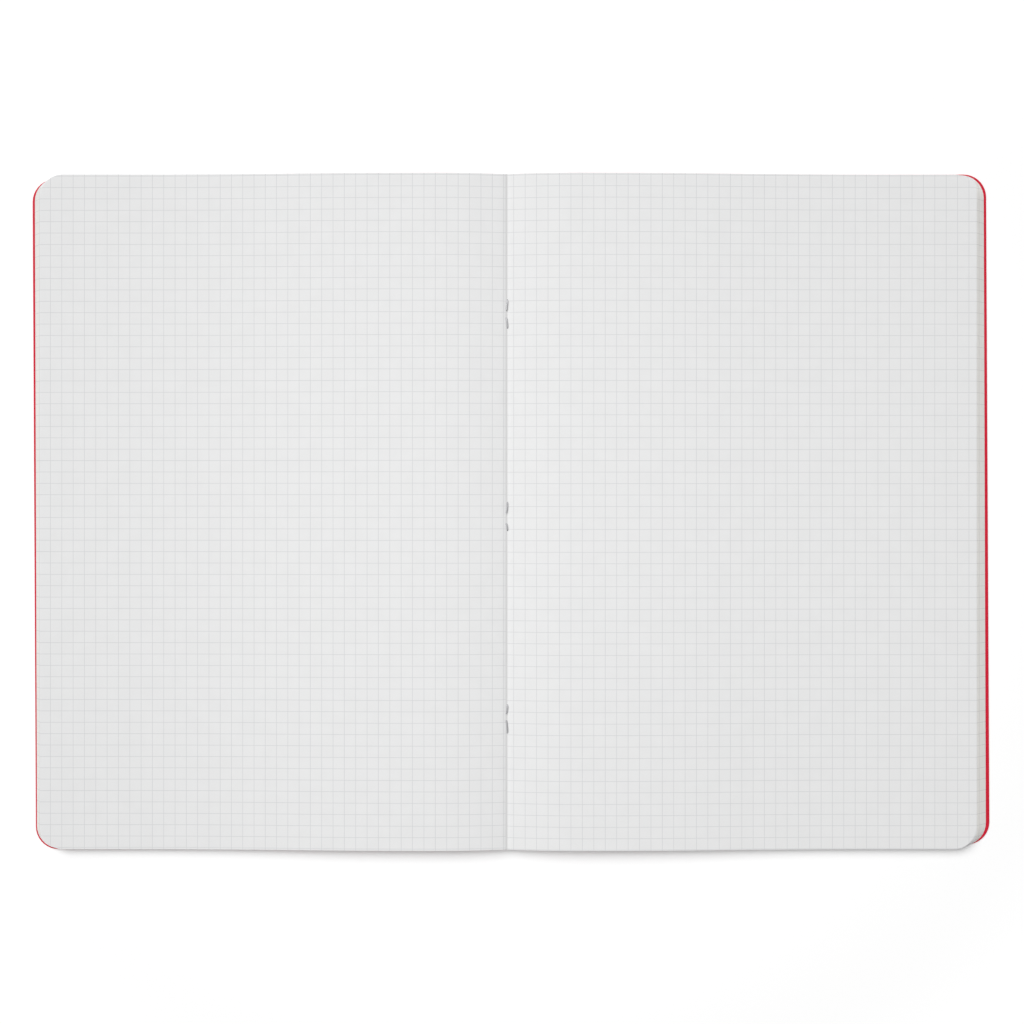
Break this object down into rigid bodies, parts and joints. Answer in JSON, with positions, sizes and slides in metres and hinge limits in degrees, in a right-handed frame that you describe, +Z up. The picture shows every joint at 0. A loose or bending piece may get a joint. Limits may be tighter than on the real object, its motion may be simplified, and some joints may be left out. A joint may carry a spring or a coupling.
{
  "type": "stapled exercise book",
  "caption": "A4 exercise book of folded squared sheets in a red card cover, wire-stapled through the fold and lying open flat at its centre spread.",
  "frame": {"origin": "on the table, under the middle of the open cover", "axes": "+X across the open spread from the front cover to the back cover, +Y up the page, +Z up from the table"},
  "size_m": [0.4242, 0.2991, 0.0056],
  "materials": {
    "squared_paper": "uncoated white writing paper with a pale grey 5 mm grid",
    "cover_card": "red card, satin",
    "staple_wire": "drawn steel wire"
  },
  "bodies": {
    "back_cover": {"back_cover": "cover_card"},
    "front_cover": {"front_cover": "cover_card"},
    "spine": {"cover_fold": "cover_card", "sheet_folds": "squared_paper", "upper_staple": "staple_wire", "middle_staple": "staple_wire", "lower_staple": "staple_wire"},
    "left_leaves_16_to_24": {"left_leaf_16": "squared_paper", "left_leaf_17": "squared_paper", "left_leaf_18": "squared_paper", "left_leaf_19": "squared_paper", "left_leaf_20": "squared_paper", "left_leaf_21": "squared_paper", "left_leaf_22": "squared_paper", "left_leaf_23": "squared_paper", "left_leaf_24": "squared_paper"},
    "left_leaves_9_to_15": {"left_leaf_09": "squared_paper", "left_leaf_10": "squared_paper", "left_leaf_11": "squared_paper", "left_leaf_12": "squared_paper", "left_leaf_13": "squared_paper", "left_leaf_14": "squared_paper", "left_leaf_15": "squared_paper"},
    "left_leaves_2_to_8": {"left_leaf_02": "squared_paper", "left_leaf_03": "squared_paper", "left_leaf_04": "squared_paper", "left_leaf_05": "squared_paper", "left_leaf_06": "squared_paper", "left_leaf_07": "squared_paper", "left_leaf_08": "squared_paper"},
    "left_leaf_1": {"left_leaf_01": "squared_paper"},
    "right_leaves_16_to_24": {"right_leaf_16": "squared_paper", "right_leaf_17": "squared_paper", "right_leaf_18": "squared_paper", "right_leaf_19": "squared_paper", "right_leaf_20": "squared_paper", "right_leaf_21": "squared_paper", "right_leaf_22": "squared_paper", "right_leaf_23": "squared_paper", "right_leaf_24": "squared_paper"},
    "right_leaves_9_to_15": {"right_leaf_09": "squared_paper", "right_leaf_10": "squared_paper", "right_leaf_11": "squared_paper", "right_leaf_12": "squared_paper", "right_leaf_13": "squared_paper", "right_leaf_14": "squared_paper", "right_leaf_15": "squared_paper"},
    "right_leaves_2_to_8": {"right_leaf_02": "squared_paper", "right_leaf_03": "squared_paper", "right_leaf_04": "squared_paper", "right_leaf_05": "squared_paper", "right_leaf_06": "squared_paper", "right_leaf_07": "squared_paper", "right_leaf_08": "squared_paper"},
    "right_leaf_1": {"right_leaf_01": "squared_paper"}
  },
  "joints": [
    {"name": "front_cover_fold", "type": "hinge", "parent": "back_cover", "child": "front_cover", "pos_m": [-0.002, 0, 0.00577], "axis": [0, 1, 0], "range_deg": [0, 179.9]},
    {"name": "spine_fold", "type": "hinge", "parent": "back_cover", "child": "spine", "pos_m": [-0.002, 0, 0.00577], "axis": [0, 1, 0], "range_deg": [0, 90]},
    {"name": "left_leaves_16_to_24_turn", "type": "hinge", "parent": "front_cover", "child": "left_leaves_16_to_24", "pos_m": [-0.002, 0, 0.00577], "axis": [0, -1, 0], "range_deg": [-179.9, 0]},
    {"name": "left_leaves_9_to_15_turn", "type": "hinge", "parent": "left_leaves_16_to_24", "child": "left_leaves_9_to_15", "pos_m": [-0.002, 0, 0.00577], "axis": [0, -1, 0], "range_deg": [-179.9, 0]},
    {"name": "left_leaves_2_to_8_turn", "type": "hinge", "parent": "left_leaves_9_to_15", "child": "left_leaves_2_to_8", "pos_m": [-0.002, 0, 0.00577], "axis": [0, -1, 0], "range_deg": [-179.9, 0]},
    {"name": "left_leaf_1_turn", "type": "hinge", "parent": "left_leaves_2_to_8", "child": "left_leaf_1", "pos_m": [-0.002, 0, 0.00577], "axis": [0, -1, 0], "range_deg": [-179.9, 0]},
    {"name": "right_leaves_16_to_24_turn", "type": "hinge", "parent": "back_cover", "child": "right_leaves_16_to_24", "pos_m": [-0.002, 0, 0.00577], "axis": [0, 1, 0], "range_deg": [-179.9, 0]},
    {"name": "right_leaves_9_to_15_turn", "type": "hinge", "parent": "right_leaves_16_to_24", "child": "right_leaves_9_to_15", "pos_m": [-0.002, 0, 0.00577], "axis": [0, 1, 0], "range_deg": [-179.9, 0]},
    {"name": "right_leaves_2_to_8_turn", "type": "hinge", "parent": "right_leaves_9_to_15", "child": "right_leaves_2_to_8", "pos_m": [-0.002, 0, 0.00577], "axis": [0, 1, 0], "range_deg": [-179.9, 0]},
    {"name": "right_leaf_1_turn", "type": "hinge", "parent": "right_leaves_2_to_8", "child": "right_leaf_1", "pos_m": [-0.002, 0, 0.00577], "axis": [0, 1, 0], "range_deg": [-179.9, 0]}
  ],
  "couplings": [
    {"joint": "spine_fold", "follows": "front_cover_fold", "ratio": 0.5}
  ]
}
